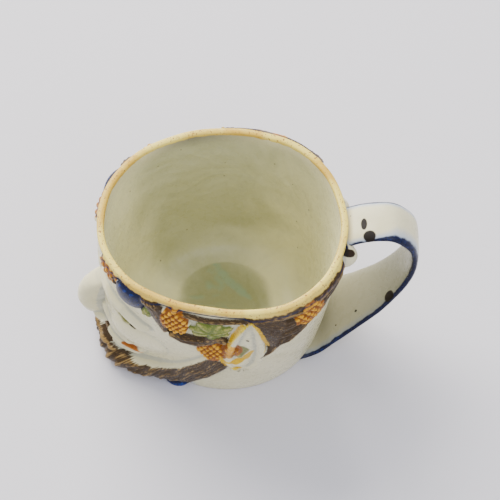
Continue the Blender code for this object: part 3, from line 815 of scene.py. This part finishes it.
# %% Colour and node helpers
def linear(code):
    """sRGB hex to a linear colour."""
    parts = [int(code[i:i + 2], 16) / 255.0 for i in (1, 3, 5)]
    return tuple(p / 12.92 if p <= 0.04045 else ((p + 0.055) / 1.055) ** 2.4 for p in parts) + (1.0,)


def per_mm(size):
    """Texture scale of a pattern whose features measure this many millimetres."""
    return 1.0 / (size * MM)


def add(tree, kind, settings=None, out=0, **links):
    """Add a node, set its properties, fill or link its inputs by number or name, and return one output."""
    node = tree.nodes.new(kind)
    for key, value in (settings or {}).items():
        setattr(node, key, value)
    for key, value in links.items():
        name = key.replace("_", " ")
        socket = node.inputs[int(key[1:])] if key[0] == "i" and key[1:].isdigit() else node.inputs[name]
        if isinstance(value, bpy.types.NodeSocket):
            tree.links.new(value, socket)
        else:
            socket.default_value = value
    return node.outputs[out] if node.outputs else node


SOFT_STEP = {"interpolation_type": "SMOOTHSTEP"}
COLOUR = {"data_type": "RGBA"}
MULTIPLY_ADD = {"operation": "MULTIPLY_ADD"}
MULTIPLY = {"operation": "MULTIPLY"}
print("cream body in linear colour", [round(part, 3) for part in linear("#dbd4b0")])

# %% Patterns of the glaze
# Each noise: size of its features in millimetres, detail, distortion.
NOISES = {
    "broad": (38.0, 3.0, 1.4),
    "fine": (3.2, 4.0, 0.0),
    "grit": (0.9, 2.0, 0.0),
    "swirl": (24.0, 1.0, 2.2),
}
MEASURES = ("blue", "well", "painted_light_and_shade", "tan", "foot", "cavity", "dabs", "comb_along", "comb_across", "comb_lock")
STRANDS_PER_MM = 2.4
# Each sum: its name, what it starts from, and how much of what is added.
SUMS = (
    ("bleed", "blue", 1.2, "fine"),
    # Painted light inside: the sum below adds a broad mottle to the painted light value.
    ("painted_light_patches", "painted_light_and_shade", 0.5, "broad"),
    ("damp", "well", 0.2, "fine"),
    # Pooled glaze and painted shade: the depth of the well, less where painted light falls.
    ("pooled_glaze_and_shade", "damp", -0.3, "painted_light_and_shade"),
    ("stain", "pooled_glaze_and_shade", 0.8, "swirl"),
    ("worn", "grit", -0.9, "cavity"),
    ("paint_tone", "worn", 0.5, "broad"),
    ("strands", 0.0, 2.4, "streak"),
    ("worn_strands", "strands", -1.0, "cavity"),
    ("hair_tone", "worn_strands", -0.9, "broad"),
    ("lip_edge", "tan", 1.6, "fine"),
)


def glaze_patterns(tree):
    """All noises, stored measures and their sums, by name."""
    where = add(tree, "ShaderNodeTexCoord", out="Object")
    at = {}
    for name, (size, detail, bend) in NOISES.items():
        look = {"Scale": per_mm(size), "Detail": detail, "Distortion": bend}
        at[name] = add(tree, "ShaderNodeTexNoise", Vector=where, **look)
    for name in MEASURES:
        at[name] = add(tree, "ShaderNodeAttribute", {"attribute_name": name}, "Fac")
    drawn_out = add(tree, "ShaderNodeMath", MULTIPLY, i0=at["comb_along"], i1=0.2)
    comb = add(tree, "ShaderNodeCombineXYZ", X=drawn_out, Y=at["comb_across"], Z=at["comb_lock"])
    at["streak"] = add(tree, "ShaderNodeTexNoise", Vector=comb, Scale=STRANDS_PER_MM, Detail=3.0)
    for name, start, amount, more in SUMS:
        begin = at[start] if isinstance(start, str) else start
        at[name] = add(tree, "ShaderNodeMath", MULTIPLY_ADD, i0=at[more], i1=amount, i2=begin)
    at["pinholes"] = add(tree, "ShaderNodeTexVoronoi", None, "Distance", Vector=where, Scale=per_mm(9.0))
    return at


# %% Colours of body, inside and lip
# Each tint: what it follows, where it starts and is full, how strong it gets, and its colour.
BODY_TINTS = (
    ("broad", 0.35, 0.7, 1.0, "#cec79e"),
    ("bleed", -1.9, 0.9, 0.7, "#8fa6cc"),
    ("cavity", 0.05, -0.5, 1.0, "#b9b7a0"),
    # Painted shade: dark grey-olive where the painted light value falls below 0.5, on the strap's inner face
    # and a little at the top of the inner wall away from its two ends.
    ("painted_light_and_shade", 0.5, 0.0, 1.0, "#66655a"),
)
INSIDE_TINTS = (
    ("broad", 0.3, 0.72, 1.0, "#b6b592"),
    # Painted light: paler inner wall at the two narrow ends.
    ("painted_light_patches", 0.55, 1.3, 1.0, "#e0dbac"),
    # Darker olive towards the floor: pooled glaze, and painted shade where painted light is weak.
    ("pooled_glaze_and_shade", 0.76, 1.06, 1.0, "#8f9066"),
    ("stain", 1.36, 1.56, 1.0, "#8c9c7c"),
)
LIP_TINTS = (
    ("broad", 0.4, 0.62, 1.0, "#cca640"),
    ("grit", 0.61, 0.68, 1.0, "#8f6030"),
    ("lip_edge", 1.4, 0.8, 0.45, "#b08c48"),
)
LAST_TINTS = (
    ("pinholes", 0.055, 0.035, 0.7, "#5d5540"),
    ("foot", -0.2, 0.3, 1.0, "#c9bfa4"),
)


def tinted(tree, at, colour, tints):
    """Lay tints over a colour, one after the other."""
    for measure, start, full, most, code in tints:
        amount = add(tree, "ShaderNodeMapRange", SOFT_STEP, i0=at[measure], i1=start, i2=full, i4=most)
        colour = add(tree, "ShaderNodeMix", COLOUR, 2, i0=amount, i6=colour, i7=linear(code))
    return colour


# %% Underglaze pigments
# Each layer: light and dark colour, how ragged its edge is, and how soft, in millimetres.
LAYERS = {
    "olive": ("#a8a468", "#6e7038", 0.3, 0.6),
    "green": ("#b4ac5c", "#5e6c24", 0.35, 0.3),
    "ochre": ("#dca008", "#844a00", 0.25, 0.2),
    "hair": ("#8c7040", "#38270e", 0.55, 0.3),
    "yellow": ("#e8ca14", "#c89e00", 0.25, 0.25),
    "lips": ("#b46a0c", "#8c4a04", 0.2, 0.4),
    "blue": ("#1c4098", "#060c2c", 0.3, 0.3),
    "line": ("#16204c", "#0c1230", 0.1, 0.2),
    "dabs": ("#241606", "#100802", 0.12, 0.25),
}


def pigments(tree, at, colour):
    """Lay each pigment over the body, and return the colour and how much is painted."""
    painted = 0.0
    for name, (light, dark, ragged, soft) in LAYERS.items():
        edge = add(tree, "ShaderNodeAttribute", {"attribute_name": name}, "Fac")
        combed = name == "hair"
        noise, tone, full = ("streak", "hair_tone", 0.55) if combed else ("fine", "paint_tone", 0.8)
        moved = add(tree, "ShaderNodeMath", MULTIPLY_ADD, i0=at[noise], i1=4.0 * ragged, i2=edge)
        start, done = 2.0 * ragged - soft, 2.0 * ragged + soft
        cover = add(tree, "ShaderNodeMapRange", SOFT_STEP, i0=moved, i1=start, i2=done)
        layer = tinted(tree, at, linear(light), ((tone, -0.05, full, 1.0, dark),))
        colour = add(tree, "ShaderNodeMix", COLOUR, 2, i0=cover, i6=colour, i7=layer)
        painted = add(tree, "ShaderNodeMath", {"operation": "MAXIMUM"}, i0=painted, i1=cover)
    return colour, painted


# %% The glaze material
# Each bump: strength, depth in millimetres, and what it follows. The glaze lies in waves, the inside was
# pressed by fingers, grit shows through, and strands and brush marks stand a little under the glaze.
BUMPS = ((0.2, 0.25, "fine"), (0.4, 2.2, "pressed"), (0.12, 0.05, "grit"), (0.4, 0.15, "brushed"))


def painted_glaze(name):
    material = bpy.data.materials.new(name)
    material.use_nodes = True
    tree = material.node_tree
    tree.nodes.clear()
    at = glaze_patterns(tree)
    body = tinted(tree, at, linear("#dbd4b0"), BODY_TINTS)
    # The inside colour is greener and darker than the body: greenish pooled glaze, and painted shade.
    inside = tinted(tree, at, linear("#a6a57c"), INSIDE_TINTS)
    is_inside = add(tree, "ShaderNodeMapRange", SOFT_STEP, i0=at["well"], i1=0.0, i2=0.12)
    body = add(tree, "ShaderNodeMix", COLOUR, 2, i0=is_inside, i6=body, i7=inside)
    colour, painted = pigments(tree, at, body)
    lip = tinted(tree, at, linear("#e8d268"), LIP_TINTS)
    on_lip = add(tree, "ShaderNodeMapRange", SOFT_STEP, i0=at["lip_edge"], i1=0.55, i2=0.95)
    colour = add(tree, "ShaderNodeMix", COLOUR, 2, i0=on_lip, i6=colour, i7=lip)
    colour = tinted(tree, at, colour, LAST_TINTS)
    matt = add(tree, "ShaderNodeMapRange", SOFT_STEP, i0=at["dabs"], i1=-0.3, i2=0.1, i3=0.0, i4=0.4)
    rough = add(tree, "ShaderNodeMapRange", SOFT_STEP, i0=at["fine"], i1=0.2, i2=0.8, i3=0.22, i4=0.36)
    rough = add(tree, "ShaderNodeMath", {"operation": "ADD"}, i0=rough, i1=matt)
    deep = add(tree, "ShaderNodeMapRange", SOFT_STEP, i0=at["well"], i1=0.03, i2=0.2)
    at["pressed"] = add(tree, "ShaderNodeMath", MULTIPLY, i0=at["swirl"], i1=deep)
    at["brushed"] = add(tree, "ShaderNodeMath", MULTIPLY, i0=at["streak"], i1=painted)
    normal = {}
    for strength, deep_mm, height in BUMPS:
        size = {"Strength": strength, "Distance": deep_mm * MM}
        normal = {"Normal": add(tree, "ShaderNodeBump", Height=at[height], **size, **normal)}
    shader = add(tree, "ShaderNodeBsdfPrincipled", Base_Color=colour, Roughness=rough, IOR=1.52,
                 Specular_IOR_Level=0.2, Coat_Weight=0.07, Coat_Roughness=0.08, **normal)
    add(tree, "ShaderNodeOutputMaterial", Surface=shader)
    print(name, "has", len(tree.nodes), "nodes")
    return material


glaze = painted_glaze("lead_glazed_pearlware")
for piece in (cup, strap):
    piece.data.materials.clear()
    piece.data.materials.append(glaze)
    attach(piece, "root")
    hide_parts("mug")

# %% [markdown]
# ## Floor, light and camera
# The mug stands on a seamless pale sheet under a broad soft light from beyond its left side, with a weak
# one above. The camera looks down at sixty degrees from the mug's right side, with a long lens, which is
# where the photograph was taken from.

# %% Floor
deselect_all()
bpy.ops.mesh.primitive_plane_add(size=6.0, location=(0, 0, 0))
floor = bpy.context.object
floor.name = "floor"
paper = bpy.data.materials.new("matt_paper")
paper.use_nodes = True
paper.node_tree.nodes["Principled BSDF"].inputs["Base Color"].default_value = linear("#d4d2d8")
paper.node_tree.nodes["Principled BSDF"].inputs["Roughness"].default_value = 0.8
floor.data.materials.append(paper)
print("floor", floor.dimensions.x, "m wide")

# %% Lights
world = bpy.data.worlds.new("soft_room")
bpy.context.scene.world = world
world.use_nodes = True
world.node_tree.nodes["Background"].inputs["Color"].default_value = linear("#e9ebf0")
world.node_tree.nodes["Background"].inputs["Strength"].default_value = 1.17


def area_light(name, place, size, watts, code):
    """Round soft light that faces the mug."""
    data = bpy.data.lights.new(name, "AREA")
    data.shape = "DISK"
    data.size = size
    data.energy = watts
    data.color = linear(code)[:3]
    lamp = bpy.data.objects.new(name, data)
    bpy.context.scene.collection.objects.link(lamp)
    lamp.location = place
    lamp.rotation_euler = (Vector((0, 0, 0.04)) - Vector(place)).to_track_quat("-Z", "Y").to_euler()
    print(name, "light", watts, "W")


area_light("key", (-1.45, -0.55, 1.15), 1.9, 102.0, "#fffaf2")
area_light("top", (0.8, 0.4, 1.5), 1.6, 14.0, "#f4f6ff")

# %% Camera
SENSOR = 36.0
FOCAL_PIXELS = 2014.2
PICTURE_PIXELS = 500
DISTANCE = 0.84
camera_data = bpy.data.cameras.new("camera")
camera_data.sensor_width = SENSOR
camera_data.lens = FOCAL_PIXELS * SENSOR / PICTURE_PIXELS
camera_data.clip_start = 0.01
camera = bpy.data.objects.new("camera", camera_data)
bpy.context.scene.collection.objects.link(camera)
target = Vector((0.01623, 0.00893, 0.084))
a, e = math.radians(83.0), math.radians(60.0)
back = Vector((math.sin(a) * math.cos(e), -math.cos(a) * math.cos(e), math.sin(e)))
camera.location = target + DISTANCE * back
camera.rotation_euler = back.to_track_quat("Z", "Y").to_euler()
bpy.context.scene.camera = camera
print("lens", round(camera_data.lens, 1), "mm")
